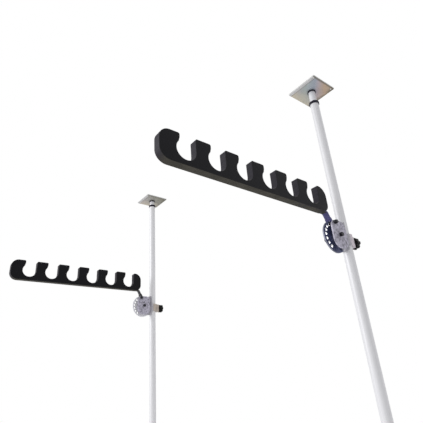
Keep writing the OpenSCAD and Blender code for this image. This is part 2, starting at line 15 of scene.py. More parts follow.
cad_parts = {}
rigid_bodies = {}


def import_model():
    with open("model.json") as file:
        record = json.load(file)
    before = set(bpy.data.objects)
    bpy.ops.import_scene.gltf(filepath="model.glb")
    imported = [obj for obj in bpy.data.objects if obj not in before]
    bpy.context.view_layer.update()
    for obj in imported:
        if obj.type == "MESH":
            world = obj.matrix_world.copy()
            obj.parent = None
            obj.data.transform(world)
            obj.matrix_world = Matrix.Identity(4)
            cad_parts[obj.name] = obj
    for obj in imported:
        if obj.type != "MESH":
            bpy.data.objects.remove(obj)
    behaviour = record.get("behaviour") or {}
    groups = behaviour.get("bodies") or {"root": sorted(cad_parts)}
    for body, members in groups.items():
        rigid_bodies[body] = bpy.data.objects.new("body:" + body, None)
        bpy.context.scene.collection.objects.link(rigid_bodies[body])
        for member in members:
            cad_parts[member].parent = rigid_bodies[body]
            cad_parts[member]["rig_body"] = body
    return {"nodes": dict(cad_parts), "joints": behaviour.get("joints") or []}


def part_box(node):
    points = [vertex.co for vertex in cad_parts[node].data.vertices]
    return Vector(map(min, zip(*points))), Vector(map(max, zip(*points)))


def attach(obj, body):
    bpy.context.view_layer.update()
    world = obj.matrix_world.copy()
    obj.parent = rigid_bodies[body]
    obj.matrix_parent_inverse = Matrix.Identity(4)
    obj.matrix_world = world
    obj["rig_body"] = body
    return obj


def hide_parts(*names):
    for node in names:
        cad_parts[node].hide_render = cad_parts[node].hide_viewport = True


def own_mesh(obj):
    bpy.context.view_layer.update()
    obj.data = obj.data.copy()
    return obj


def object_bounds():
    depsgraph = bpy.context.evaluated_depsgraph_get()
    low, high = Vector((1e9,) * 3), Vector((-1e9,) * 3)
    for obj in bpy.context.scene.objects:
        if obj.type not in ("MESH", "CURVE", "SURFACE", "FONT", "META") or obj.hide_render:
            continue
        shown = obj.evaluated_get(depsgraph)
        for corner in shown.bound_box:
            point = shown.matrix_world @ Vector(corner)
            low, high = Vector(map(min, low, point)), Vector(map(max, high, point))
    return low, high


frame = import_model()

bl_info = {
    "name": "Rod rack",
    "version": (1, 0, 0),
    "blender": (4, 5, 0),
    "location": "View3D > Sidebar > Rod rack",
    "description": "Dresses the overhead rod rack and sets its stage",
    "category": "Object",
}

NODES = frame["nodes"]
JOINTS = {j["name"]: j for j in frame["joints"]}
SIDES = ("front", "back")
CAD_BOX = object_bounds()

MM = 0.001
UP = Vector((0, 0, 1))
AWAY = Vector((0, 1, 0))  # from the front pole towards the back pole
QUARTER_TURN = math.pi / 2

WELD = 1e-6  # vertices of one solid closer than this are one
FLAT_ANGLE = math.radians(0.5)  # faces that meet at less than this are one
CREASE = 35  # degrees: an edge that turns by more is shaded sharp
KNOB_CREASE = 50  # degrees: only the knobs' lobes and ends turn by more
WALL = 0.5  # a wall's normal keeps less than this along its sheet's thickness
SQUARE_ON = 0.9  # a face looks along an axis when its normal keeps more than this
WIRE_SIDES = 8
COIL_STEPS = 20  # straight pieces in one turn of a coil
COIL_GAP = 0.1 * MM  # free space round a tension coil, inside its sleeve's outline
SKIN, BORE, RIM = range(3)  # order of an index disc's finishes

RACK_HEIGHT = 1.8  # where the lamps aim
SENSOR_MM = 36
CLIP_START, CLIP_END = 0.02, 60


# Mesh work shared by the pieces


def solid_from(node):
    """The node's shape as a welded mesh whose flat faces are whole."""
    bm = bmesh.new()
    bm.from_mesh(NODES[node].data)
    bmesh.ops.remove_doubles(bm, verts=bm.verts, dist=WELD)
    bmesh.ops.dissolve_limit(bm, angle_limit=FLAT_ANGLE, verts=bm.verts, edges=bm.edges)
    return bm


def break_edges(bm, width, segments=2, sharp=28):
    """Rounds every edge that turns by more than sharp degrees."""
    edges = [e for e in bm.edges if e.is_manifold and e.calc_face_angle(0) > math.radians(sharp)]
    bmesh.ops.bevel(
        bm,
        geom=edges,
        offset=width,
        offset_type="OFFSET",
        segments=segments,
        profile=0.5,
        affect="EDGES",
        clamp_overlap=False,
        loop_slide=False,
        material=-1,
    )


def coil(bm, base, along, radius, wire, length, turns):
    """Adds a helical spring of round wire that fills that length."""
    turn = along.to_track_quat("Z", "Y").to_matrix().to_4x4()
    lay = Matrix.Rotation(QUARTER_TURN, 4, "X")
    start = Matrix.Translation(base + along * wire / 2) @ turn @ Matrix.Translation((radius, 0, 0))
    ring = bmesh.ops.create_circle(
        bm, segments=WIRE_SIDES, radius=wire / 2, matrix=start @ lay
    )["verts"]
    edges = list({e for v in ring for e in v.link_edges})
    count = round(turns * COIL_STEPS)
    bmesh.ops.spin(
        bm,
        geom=ring + edges,
        cent=base,
        axis=along,
        dvec=along * (length - wire) / count,
        angle=math.tau * turns,
        steps=count,
    )
    ends = [e for e in bm.edges if e.is_boundary]
    bmesh.ops.holes_fill(bm, edges=ends, sides=WIRE_SIDES)


def finished(bm, name, node, slot, *materials, crease=CREASE, weighted=True):
    """Makes the piece that stands for the node and rides on its body."""
    bmesh.ops.recalc_face_normals(bm, faces=bm.faces)
    mesh = bpy.data.meshes.new(name)
    bm.to_mesh(mesh)
    bm.free()
    mesh.shade_smooth()
    mesh.set_sharp_from_angle(angle=math.radians(crease))
    for material in materials:
        mesh.materials.append(material)
    piece = bpy.data.objects.new(name, mesh)
    bpy.context.scene.collection.objects.link(piece)
    if weighted:
        even = piece.modifiers.new("Even shading", "WEIGHTED_NORMAL")
        even.keep_sharp = True
    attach(piece, NODES[node]["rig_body"])
    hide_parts(node)
    return piece


def rounded(node, width, ending, slot, key, **rounding):
    """Makes the node's shape again with rounded edges and one finish."""
    bm = solid_from(node)
    break_edges(bm, width, **rounding)
    finished(bm, f"{node}_{ending}", node, slot, finish(key))


def plain(node, ending, slot, key):
    """Makes the node's shape again as it is, with one finish."""
    finished(solid_from(node), f"{node}_{ending}", node, slot, finish(key))


def spring(side, kind, driver, along, wire, turns, gap=0.0):
    """Winds a coil in the place of a spring's sleeve."""
    node = f"{side}_{kind}_spring"
    low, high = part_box(node)
    base = Vector([lo if on else (lo + hi) / 2 for lo, hi, on in zip(low, high, along)])
    length = sum((hi - lo) * on for lo, hi, on in zip(low, high, along))
    radius = (high.x - low.x) / 2 - wire / 2 - gap
    bm = bmesh.new()
    coil(bm, base, along, radius, wire, length, turns)
    name = f"{side}_{kind}_coil"
    piece = finished(bm, name, node, "spring_steel", finish("spring"), weighted=False)
    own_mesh(piece)


# Finishes


class Finish:
    """A material being built: its nodes, and patterns that read Object coordinates."""

    def __init__(self, name, colour, roughness, metallic=0.0, sheen=0.5):
        self.material = bpy.data.materials.new(name)
        self.material.use_nodes = True
        self.material.diffuse_color = (*colour, 1)
        tree = self.material.node_tree
        self.nodes, self.links = tree.nodes, tree.links
        self.inputs = self.nodes["Principled BSDF"].inputs
        self.inputs["Base Color"].default_value = (*colour, 1)
        self.inputs["Roughness"].default_value = roughness
        self.inputs["Metallic"].default_value = metallic
        self.inputs["Specular IOR Level"].default_value = sheen
        self.coordinates = self.nodes.new("ShaderNodeTexCoord").outputs

    def noise(self, per_metre, detail=3, rough=0.5, stretch=(1, 1, 1)):
        """Clouds of that fineness; a stretch below 1 draws them out along its axis."""
        mapping = self.nodes.new("ShaderNodeMapping")
        mapping.inputs["Scale"].default_value = stretch
        self.links.new(self.coordinates["Object"], mapping.inputs["Vector"])
        node = self.nodes.new("ShaderNodeTexNoise")
        node.inputs["Scale"].default_value = per_metre
        node.inputs["Detail"].default_value = detail
        node.inputs["Roughness"].default_value = rough
        self.links.new(mapping.outputs["Vector"], node.inputs["Vector"])
        return node.outputs["Fac"]

    def cells(self, per_metre):
        """Small round dimples of that fineness."""
        node = self.nodes.new("ShaderNodeTexVoronoi")
        node.inputs["Scale"].default_value = per_metre
        self.links.new(self.coordinates["Object"], node.inputs["Vector"])
        return node.outputs["Distance"]

    def axis(self, letter, kind="Object"):
        """The place, or for Normal the facing, along one axis of the part's frame."""
        node = self.nodes.new("ShaderNodeSeparateXYZ")
        self.links.new(self.coordinates[kind], node.inputs["Vector"])
        return node.outputs[letter]

    def blend(self, first, second, share):
        """Adds a share of the second value to the first."""
        node = self.nodes.new("ShaderNodeMath")
        node.operation = "MULTIPLY_ADD"
        self.links.new(second, node.inputs[0])
        node.inputs[1].default_value = share
        self.links.new(first, node.inputs[2])
        return node.outputs[0]

    def ramp(self, value, *stops):
        """Colours a value: stops are (place, colour) pairs."""
        node = self.nodes.new("ShaderNodeValToRGB")
        marks = node.color_ramp.elements
        while len(marks) < len(stops):
            marks.new(0.5)
        for mark, (place, colour) in zip(marks, stops):
            mark.position = place
            mark.color = (*colour, 1)
        self.links.new(value, node.inputs["Fac"])
        return node.outputs["Color"]

    def levels(self, value, low, high, start=0.3, end=0.7):
        """Turns values from start to end into numbers from low to high."""
        node = self.nodes.new("ShaderNodeMapRange")
        numbers = {"From Min": start, "From Max": end, "To Min": low, "To Max": high}
        for socket, number in numbers.items():
            node.inputs[socket].default_value = number
        self.links.new(value, node.inputs["Value"])
        return node.outputs["Result"]

    def mix(self, amount, first, second):
        """Goes from the first colour to the second by the amount."""
        node = self.nodes.new("ShaderNodeMix")
        node.data_type = "RGBA"
        if isinstance(amount, float):
            node.inputs["Factor"].default_value = amount
        else:
            self.links.new(amount, node.inputs["Factor"])
        for socket, colour in (("A", first), ("B", second)):
            if isinstance(colour, bpy.types.NodeSocket):
                self.links.new(colour, node.inputs[socket])
            else:
                node.inputs[socket].default_value = (*colour, 1)
        return node.outputs["Result"]

    def paint(self, colour):
        """Gives the surface that colour pattern."""
        self.links.new(colour, self.inputs["Base Color"])

    def gloss(self, value):
        """Gives the surface that pattern of roughness."""
        self.links.new(value, self.inputs["Roughness"])

    def relief(self, value, depth, strength):
        """Bumps the surface, on top of any bump before it."""
        node = self.nodes.new("ShaderNodeBump")
        node.inputs["Strength"].default_value = strength
        node.inputs["Distance"].default_value = depth
        self.links.new(value, node.inputs["Height"])
        before = self.inputs["Normal"]
        if before.is_linked:
            self.links.new(before.links[0].from_socket, node.inputs["Normal"])
        self.links.new(node.outputs["Normal"], before)


def shade(colour, factor):
    """A colour made darker or lighter."""
    return tuple(min(1.0, c * factor) for c in colour)


def drawn_aluminium(name, colour, roughness):
    """Anodised tube: fine draw lines along it and a few soft handling marks."""
    f = Finish(name, colour, roughness, metallic=0.15, sheen=0.3)
    lines = f.noise(per_metre=900, detail=2, stretch=(1, 1, 0.004))
    marks = f.noise(per_metre=14, detail=4, stretch=(1, 1, 0.5))
    f.paint(f.ramp(lines, (0.3, shade(colour, 0.93)), (0.7, shade(colour, 1.04))))
    f.gloss(f.levels(marks, roughness - 0.05, roughness + 0.09))
    f.relief(lines, depth=0.02 * MM, strength=0.35)
    return f.material


def polished_plate(name, look, node, reflections):
    """Thin steel plate with a painted reflection of the room, running from one corner to the
    other.
    """
    f = Finish(name, look.plate, roughness=0.32, metallic=0.25)
    low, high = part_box(node)
    across = f.levels(f.axis("X"), 0, 1, start=low.x, end=high.x)
    along = f.levels(f.axis("Y"), 0, 1, start=low.y, end=high.y)
    haze = f.noise(per_metre=30)
    diagonal = f.blend(across, along, -1.0)  # -1 at the far left corner, 1 at the near right
    place = f.levels(diagonal, 0, 1, start=-1.2, end=1.2)
    # the plate's colour along that diagonal is the painted reflection of the room
    colour = f.ramp(f.blend(place, haze, 0.12), *reflections)
    # Painted bands along the plate's edges: a painted cream reflection, painted shade lines, and a
    # painted highlight on the lip
    bands = (  # what each band follows, where it fades, how strong it is there, its colour
        (f.blend(along, haze, 0.4), (0.75, 1.15), (0, 0.85), look.reflected_cream_edge),
        (f.blend(across, haze, 0.3), (1.0, 1.14), (0, 0.8), look.dark_reflection_and_shade),
        (across, (0.10, 0.14), (0.5, 0), look.dark_reflection_and_shade),
        (across, (0.08, 0.11), (0.95, 0), look.lip_painted_highlight),
        (f.blend(along, haze, 0.05), (0.06, 0.10), (0.75, 0), look.dark_reflection_and_shade),
    )
    for follows, fade, strength, band in bands:
        colour = f.mix(f.levels(follows, *strength, *fade), colour, band)
    lines = f.noise(per_metre=1500, detail=1, stretch=(0.02, 1, 1))
    f.paint(f.mix(0.12, colour, f.ramp(lines, (0.3, shade(look.plate, 0.6)), (0.7, look.plate))))
    f.gloss(f.levels(lines, 0.26, 0.42))
    f.relief(lines, depth=0.02 * MM, strength=0.3)
    return f.material


def moulded_rubber(name, colour):
    """Black rubber with a fine skin."""
    f = Finish(name, colour, roughness=0.52, sheen=0.15)
    skin = f.noise(per_metre=900, detail=2)
    dust = f.noise(per_metre=60, detail=4)
    f.paint(f.ramp(dust, (0.4, colour), (0.8, shade(colour, 1.8))))
    f.gloss(f.levels(dust, 0.45, 0.62))
    f.relief(skin, depth=0.05 * MM, strength=0.5)
    return f.material


def cast_skin(f, per_metre):
    """Gives a casting its satin, pits and grain, and returns its blotches."""
    blotch = f.noise(per_metre, detail=5, rough=0.65)
    f.gloss(f.levels(blotch, 0.56, 0.42))
    f.relief(f.cells(per_metre * 6), depth=0.10 * MM, strength=0.35)
    f.relief(f.noise(per_metre * 10, detail=2), depth=0.05 * MM, strength=0.5)
    return blotch


def cast_metal(name, colour, mottle, per_metre):
    """Light cast alloy: mottled, lightly pitted, satin."""
    f = Finish(name, colour, roughness=0.48, metallic=0.15, sheen=0.3)
    dark, pale = shade(colour, 1 - mottle), shade(colour, 1 + 0.45 * mottle)
    f.paint(f.ramp(cast_skin(f, per_metre), (0.34, dark), (0.50, colour), (0.66, pale)))
    return f.material


def clamp_alloy(name, look, boss, node):
    """Cast clamp: grey saddle towards the boards and another tone on the knob's side, as painted
    light and shade on its two sides.
    """
    f = Finish(name, boss, roughness=0.50, metallic=0.15, sheen=0.3)
    low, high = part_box(node)
    blotch = cast_skin(f, per_metre=90)
    across = f.blend(f.levels(f.axis("X"), 0, 1, start=low.x, end=high.x), blotch, 0.1)
    # painted light and shade: the colour changes across the clamp from the saddle's tone to the
    # knob side's tone
    base = f.mix(f.levels(across, 0, 1, start=0.44, end=0.54), look.saddle, boss)
    stain = f.levels(blotch, 0.30, 0, start=0.38, end=0.55)
    f.paint(f.mix(stain, base, shade(look.saddle, 0.6)))
    return f.material


def powder_coat(name, colour):
    """Powder coat: orange peel, a little metal flake, paler where it is rubbed."""
    f = Finish(name, colour, roughness=0.40, metallic=0.20, sheen=0.3)
    cloud = f.noise(per_metre=55, detail=4, rough=0.6)
    peel = f.noise(per_metre=520, detail=2)
    dark, worn = shade(colour, 0.72), shade(colour, 1.5)
    f.paint(f.ramp(cloud, (0.35, dark), (0.55, colour), (0.75, worn)))
    f.gloss(f.levels(cloud, 0.46, 0.34))
    f.relief(peel, depth=0.08 * MM, strength=0.45)
    return f.material


def sheet_face(name, colour):
    """Black plastic sheet as supplied: satin, with a fine pebble and faint scuffs."""
    f = Finish(name, colour, roughness=0.50, sheen=0.10)
    pebble = f.cells(per_metre=1400)
    scuff = f.noise(per_metre=26, detail=6, rough=0.7, stretch=(1, 1, 2.2))
    f.paint(f.ramp(scuff, (0.42, colour), (0.75, shade(colour, 1.7))))
    f.gloss(f.levels(scuff, 0.42, 0.58))
    f.relief(pebble, depth=0.06 * MM, strength=0.35)
    return f.material


def routed_edge(name, colour, far):
    """The same sheet where the router cut it: paler, with cutter marks, and painted shade on faces
    that look towards the far end.
    """
    f = Finish(name, colour, roughness=0.60, sheen=0.2)
    marks = f.noise(per_metre=700, detail=2, stretch=(1, 0.02, 1))
    cloud = f.noise(per_metre=30, detail=4)
    base = f.ramp(cloud, (0.35, shade(colour, 0.78)), (0.70, shade(colour, 1.2)))
    # painted shade: faces turned towards the far end take the darker, cooler colour
    painted_shade_on_far_faces = f.levels(f.axis("X", "Normal"), 1, 0, start=-0.9, end=-0.3)
    f.paint(f.mix(painted_shade_on_far_faces, base, far))
    f.gloss(f.levels(marks, 0.52, 0.68))
    f.relief(marks, depth=0.05 * MM, strength=0.5)
    return f.material


def machined_metal(name, colour, roughness, metallic):
    """Screws, pins and springs: turned metal with faint tool marks."""
    f = Finish(name, colour, roughness, metallic=metallic)
    marks = f.noise(per_metre=1300, detail=2)
    stain = f.noise(per_metre=220)
    f.paint(f.ramp(stain, (0.35, shade(colour, 0.75)), (0.70, shade(colour, 1.15))))
    f.gloss(f.levels(marks, roughness - 0.06, roughness + 0.10))
    f.relief(marks, depth=0.03 * MM, strength=0.35)
    return f.material


def spark_plastic(name, colour):
    """Moulded plastic with a spark-eroded texture."""
    f = Finish(name, colour, roughness=0.50, sheen=0.15)
    spark = f.cells(per_metre=1100)
    wear = f.noise(per_metre=160, detail=4)
    f.paint(f.ramp(wear, (0.45, colour), (0.80, shade(colour, 1.9))))
    f.gloss(f.levels(wear, 0.40, 0.55))
    f.relief(spark, depth=0.08 * MM, strength=0.4)
    return f.material


def front_reflections(s):
    """Painted reflections on the front plates, from the far left corner to the near right one."""
    return (
        (0.12, s.plate),
        (0.44, s.reflected_green_grey),
        (0.60, s.reflected_blue_grey),
        (0.66, s.plate),
        (0.80, s.reflected_orange),
        (0.98, s.reflected_tan),
    )


def back_reflections(s):
    """Painted reflections on the back plates, in the same order."""
    return ((0.20, s.plate), (0.50, s.reflected_beige), (0.80, s.reflected_olive), (0.98, s.dark_reflection_and_shade))


FINISHES = {
    "tube": lambda s: drawn_aluminium("Anodised outer tube", s.tube, roughness=0.46),
    "stub": lambda s: drawn_aluminium("Bright inner tube", s.stub, roughness=0.38),
    "front plate": lambda s: polished_plate(
        "Front end plate", s, "front_ceiling_plate", front_reflections(s)
    ),
    "back plate": lambda s: polished_plate(
        "Back end plate", s, "back_ceiling_plate", back_reflections(s)
    ),
    "plate rim": lambda s: machined_metal(
        "Sheared plate rim", s.zinc, roughness=0.34, metallic=0.5
    ),
    "rubber": lambda s: moulded_rubber("Black rubber", s.rubber),
    "front clamp": lambda s: clamp_alloy("Cast clamp alloy in painted light and shade", s, s.clamp, "front_clamp_body"),
    "back clamp": lambda s: clamp_alloy("Clamp alloy in warm painted shade", s, s.clamp_warm_painted_shade, "back_clamp_body"),
    "cheek": lambda s: cast_metal("Cast cheek alloy", s.cheek, mottle=0.62, per_metre=130),
    "front rim": lambda s: machined_metal(
        "Rubbed disc rim", s.rubbed, roughness=0.45, metallic=0.4
    ),
    "front disc": lambda s: powder_coat("Slate coated disc", s.slate),
    # The back disc is a pale copy of the slate disc: painted light
    "back disc": lambda s: cast_metal("Back disc in painted light", s.pale, mottle=0.08, per_metre=60),
    "front bore": lambda s: machined_metal(
        "Bare drilled holes", s.bare, roughness=0.22, metallic=1.0
    ),
    # The back disc's hole walls are dark as painted shade
    "back bore": lambda s: machined_metal(
        "Drilled holes in painted shade", s.graphite_and_hole_shade, roughness=0.50, metallic=0.2
    ),
    "front bar": lambda s: powder_coat("Slate coated bar", s.slate_bar),
    "back bar": lambda s: powder_coat("Graphite coated bar", s.graphite_and_hole_shade),
    "sheet": lambda s: sheet_face("Black sheet face", s.board),
    "edge": lambda s: routed_edge("Routed sheet edge", s.board_edge, s.board_edge_painted_shade),
    "black screw": lambda s: machined_metal(
        "Black oxide steel", s.black_steel, roughness=0.42, metallic=0.4
    ),
    "bright screw": lambda s: machined_metal(
        "Zinc plated steel", s.zinc, roughness=0.32, metallic=0.9
    ),
    "spring": lambda s: machined_metal("Spring steel", s.spring, roughness=0.30, metallic=1.0),
    "knob": lambda s: spark_plastic("Black knob plastic", s.knob),
    "liner": lambda s: spark_plastic("Dark liner nylon", s.liner),
}
MADE = {}


def finish(key):
    """The finish of that name, made once."""
    if key not in MADE:
        MADE[key] = FINISHES[key](bpy.context.scene.rod_rack)
    return MADE[key]


# Properties


def colour_property(name, description, default):
    """A colour that a user can change."""
    return FloatVectorProperty(
        name=name, description=description, default=default, subtype="COLOR", min=0, max=1
    )


def length_property(name, description, default):
    """A length that a user can change."""
    return FloatProperty(name=name, description=description, default=default, unit="LENGTH", min=0)


def turns_property(name, description, default):
    """A number of turns that a user can change."""
    return IntProperty(name=name, description=description, default=default, min=4)


class RodRackLook(bpy.types.PropertyGroup):
    """Sizes and colours that a user would change."""

    disc_rim: length_property("Disc rim", "Radius inside which a disc's walls are holes", 40 * MM)
    edge_break: length_property("Edge break", "Rounding of machined and cast edges", 0.6 * MM)
    board_round: length_property("Board rounding", "Rounding of the boards' outlines", 0.7 * MM)
    collar_round: length_property("Collar rounding", "Rounding of collars and sockets", 0.7 * MM)
    knob_round: length_property("Knob rounding", "Rounding of the knobs' lobes", 1.3 * MM)
    fine_break: length_property("Fine edge break", "Rounding of screws and pins", 0.3 * MM)
    spring_wire: length_property("Spring wire", "Wire of the tension springs", 2.4 * MM)
    pin_wire: length_property("Pin spring wire", "Wire of the index pins' springs", 1.0 * MM)
    spring_turns: turns_property("Spring turns", "Turns of a tension spring", 24)
    pin_turns: turns_property("Pin spring turns", "Turns of an index pin's spring", 5)
    tube: colour_property("Outer tube", "Anodised outer tubes", (0.86, 0.86, 0.89))
    stub: colour_property("Inner tube", "Bright inner tubes", (0.93, 0.93, 1.0))
    plate: colour_property("Plate", "End plates", (0.64, 0.56, 0.60))
    # Painted reflections of the room on the end plates
    reflected_green_grey: colour_property("Plate, cool tint", "Green-grey tint", (0.50, 0.58, 0.57))
    reflected_blue_grey: colour_property("Plate, blue tint", "Blue-grey tint", (0.47, 0.53, 0.62))
    reflected_orange: colour_property("Plate, warm tint", "Orange tint", (0.74, 0.54, 0.37))
    reflected_tan: colour_property("Plate, tan tint", "Tan corner", (0.62, 0.50, 0.38))
    reflected_beige: colour_property("Plate, beige tint", "Back plate's middle", (0.52, 0.51, 0.47))
    reflected_olive: colour_property("Plate, olive tint", "Back plate's corner", (0.32, 0.32, 0.24))
    # Painted reflection, painted shade and painted highlight at the end plates' edges
    reflected_cream_edge: colour_property("Plate, cream tint", "Cream edge", (0.86, 0.78, 0.60))
    dark_reflection_and_shade: colour_property("Plate, dark tint", "Olive edge", (0.150, 0.140, 0.085))
    lip_painted_highlight: colour_property("Plate, pale lip", "Lip along the boards' side", (0.82, 0.82, 0.83))
    rubber: colour_property("Rubber", "Collars and sockets", (0.012, 0.010, 0.020))
    # The clamps' two tones are painted light and shade on their two sides
    clamp: colour_property("Clamp", "Front clamp's boss", (0.74, 0.67, 0.73))
    clamp_warm_painted_shade: colour_property("Warm clamp", "Back clamp's boss", (0.58, 0.51, 0.44))
    saddle: colour_property("Saddle", "Clamps' side towards the boards", (0.53, 0.52, 0.57))
    cheek: colour_property("Cheeks", "Cheek plates", (0.50, 0.48, 0.58))
    rubbed: colour_property("Rubbed rim", "Front disc's worn rim", (0.24, 0.25, 0.32))
    slate: colour_property("Slate disc", "Front disc", (0.095, 0.110, 0.225))
    slate_bar: colour_property("Slate bar", "Front arm", (0.085, 0.080, 0.210))
    # pale stands in for the light on the back disc: painted light
    pale: colour_property("Back disc in painted light", "Back disc", (0.95, 0.95, 1.0))
    # Also the dark of the back disc's holes: painted shade
    graphite_and_hole_shade: colour_property("Graphite", "Back arm and back disc's holes", (0.055, 0.055, 0.060))
    bare: colour_property("Bare metal", "Walls of the front disc's holes", (0.92, 0.92, 0.95))
    board: colour_property("Board face", "Boards' faces", (0.007, 0.007, 0.009))
    board_edge: colour_property("Board edge", "Boards' routed edges", (0.058, 0.053, 0.043))
    # painted shade on the boards' edges that face the far end
    board_edge_painted_shade: colour_property("Far edges", "Edges that face the far end", (0.016, 0.014, 0.022))
    black_steel: colour_property("Black steel", "Bolts and pins", (0.014, 0.013, 0.020))
    zinc: colour_property("Zinc", "Plated screws and plate rims", (0.60, 0.60, 0.60))
    spring: colour_property("Spring", "Springs", (0.50, 0.50, 0.52))
    knob: colour_property("Knob", "Knobs", (0.006, 0.006, 0.006))
    liner: colour_property("Liner", "Clamp liners and spring seats", (0.035, 0.035, 0.040))


class RodRackStage(bpy.types.PropertyGroup):
    """Camera, lamps and backdrop."""

    eye: FloatVectorProperty(
        name="Camera place",
        description="Where the camera stands",
        default=(-0.8536, -0.5120, 1.3781),
        unit="LENGTH",
    )
    yaw: FloatProperty(
        name="Yaw", description="Turn about the vertical", default=-0.6814, unit="ROTATION"
    )
    pitch: FloatProperty(
        name="Pitch", description="Tilt up", default=0.4328, unit="ROTATION"
    )
    roll: FloatProperty(
        name="Roll", description="Turn about the line of sight", default=0.0746, unit="ROTATION"
    )
    focal_px: FloatProperty(
        name="Focal length", description="In pixels of the photograph", default=380.0, min=1
    )
    photo_px: FloatProperty(
        name="Photo size", description="Side of the photograph in pixels", default=423, min=1
    )
    sky: FloatProperty(
        name="Sky", description="Strength of the light from all round", default=0.50, min=0
    )
    floor_size: length_property("Floor size", "Side of the floor", 12.0)
    floor_colour: colour_property("Floor", "Pale floor", (0.80, 0.80, 0.80))


# Pieces


class RodRackOperator(bpy.types.Operator):
    """Base of the operators that make pieces."""

    bl_options = {"REGISTER", "UNDO"}


class RODRACK_OT_tubes(RodRackOperator):
    """Finishes the outer and inner tubes of both poles"""

    bl_idname = "rod_rack.tubes"
    bl_label = "Pole tubes"

    def execute(self, context):
        width = context.scene.rod_rack.fine_break
        for side in SIDES:
            rounded(f"{side}_outer_tube", width, "drawn", "pole_tube", "tube")
            rounded(f"{side}_inner_tube", width, "drawn", "stub_tube", "stub")
        return {"FINISHED"}


class RODRACK_OT_end_plates(RodRackOperator):
    """Makes the ceiling and foot plates with softened edges"""

    bl_idname = "rod_rack.end_plates"
    bl_label = "End plates"

    def execute(self, context):
        width = context.scene.rod_rack.edge_break
        for side in SIDES:
            for part in ("ceiling_plate", "foot_plate"):
                node = f"{side}_{part}"
                bm = solid_from(node)
                for face in bm.faces:
                    face.material_index = int(abs(face.normal.z) < WALL)
                break_edges(bm, width)
                skin, rim = finish(f"{side} plate"), finish("plate rim")
                finished(bm, f"{node}_polished", node, "end_plate", skin, rim)
        return {"FINISHED"}


class RODRACK_OT_collars(RodRackOperator):
    """Makes the rubber collars, rings and sockets"""

    bl_idname = "rod_rack.collars"
    bl_label = "Collars and sockets"

    def execute(self, context):
        width = context.scene.rod_rack.collar_round
        for side in SIDES:
            for part in ("collar", "ceiling_ring", "foot_socket"):
                rounded(f"{side}_{part}", width, "moulded", "collar", "rubber", segments=3)
        return {"FINISHED"}


class RODRACK_OT_pole_springs(RodRackOperator):
    """Winds the tension springs inside the poles and finishes their seats"""

    bl_idname = "rod_rack.pole_springs"
    bl_label = "Tension springs"

    def execute(self, context):
        look = context.scene.rod_rack
        wire, turns = look.spring_wire, look.spring_turns
        for side in SIDES:
            spring(side, "tension", "pole_spring", UP, wire, turns, gap=COIL_GAP)
            rounded(f"{side}_spring_seat", look.edge_break, "plug", "hidden_plastic", "liner")
        return {"FINISHED"}


class RODRACK_OT_clamps(RodRackOperator):
    """Makes the liners and one-piece clamps that grip the poles"""

    bl_idname = "rod_rack.clamps"
    bl_label = "Clamps"

    def execute(self, context):
        width = context.scene.rod_rack.edge_break
        for side in SIDES:
            rounded(f"{side}_clamp_liner", width, "cast", "liner", "liner")
            rounded(f"{side}_clamp_body", width, "cast", "clamp_metal", f"{side} clamp")
        return {"FINISHED"}


class RODRACK_OT_clamp_screws(RodRackOperator):
    """Makes the pressure pads and the studs that drive them"""

    bl_idname = "rod_rack.clamp_screws"
    bl_label = "Clamp screws"

    def execute(self, context):
        width = context.scene.rod_rack.fine_break
        for side in SIDES:
            for part in ("pressure_pad", "clamp_stud"):
                rounded(f"{side}_{part}", width, "turned", "bright_fastener", "bright screw")
        return {"FINISHED"}


class RODRACK_OT_knobs(RodRackOperator):
    """Makes the lobed knobs with rounded lobes"""

    bl_idname = "rod_rack.knobs"
    bl_label = "Knobs"

    def execute(self, context):
        width = context.scene.rod_rack.knob_round
        for side in SIDES:
            node = f"{side}_knob"
            bm = solid_from(node)
            break_edges(bm, width, segments=4, sharp=KNOB_CREASE)
            finished(bm, f"{node}_lobed", node, "knob", finish("knob"), crease=KNOB_CREASE)
        return {"FINISHED"}


class RODRACK_OT_discs(RodRackOperator):
    """Makes the index discs, drilled through their coat, and their screws"""

    bl_idname = "rod_rack.discs"
    bl_label = "Index discs"

    def execute(self, context):
        look = context.scene.rod_rack
        for side, slot in (("front", "slate_plate"), ("back", "pale_plate")):
            node = f"{side}_index_disc"
            pivot = Vector(JOINTS[f"{side}_rack_tilt"]["pos_m"])
            bm = solid_from(node)
            for face in bm.faces:
                face.material_index = self.zone(face, pivot, look.disc_rim)
            break_edges(bm, look.fine_break)
            skin, bore = finish(f"{side} disc"), finish(f"{side} bore")
            rim = finish("front rim") if side == "front" else skin
            finished(bm, f"{node}_drilled", node, slot, skin, bore, rim)
            plain(f"{side}_disc_screws", "turned", "black_fastener", "black screw")
        return {"FINISHED"}

    @staticmethod
    def zone(face, pivot, disc_rim):
        """Which of the disc's finishes a face takes."""
        if abs(face.normal.y) >= WALL:
            return SKIN
        arm = face.calc_center_median() - pivot
        inward = face.normal.x * arm.x + face.normal.z * arm.z < 0
        return BORE if inward or arm.length < disc_rim else RIM


class RODRACK_OT_arms(RodRackOperator):
    """Makes the bent arms and their forks"""

    bl_idname = "rod_rack.arms"
    bl_label = "Arms"

    def execute(self, context):
        width = context.scene.rod_rack.edge_break
        for side, slot in (("front", "slate_bar"), ("back", "graphite_bar")):
            node = f"{side}_arm"
            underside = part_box(f"{side}_board")[0].z
            bm = solid_from(node)
            for face in bm.faces:
                foot = abs(face.calc_center_median().z - underside) < MM
                face.material_index = int(foot and face.normal.z < -SQUARE_ON)
            break_edges(bm, width)
            finished(bm, f"{node}_bent", node, slot, finish(f"{side} bar"), finish("edge"))
        return {"FINISHED"}


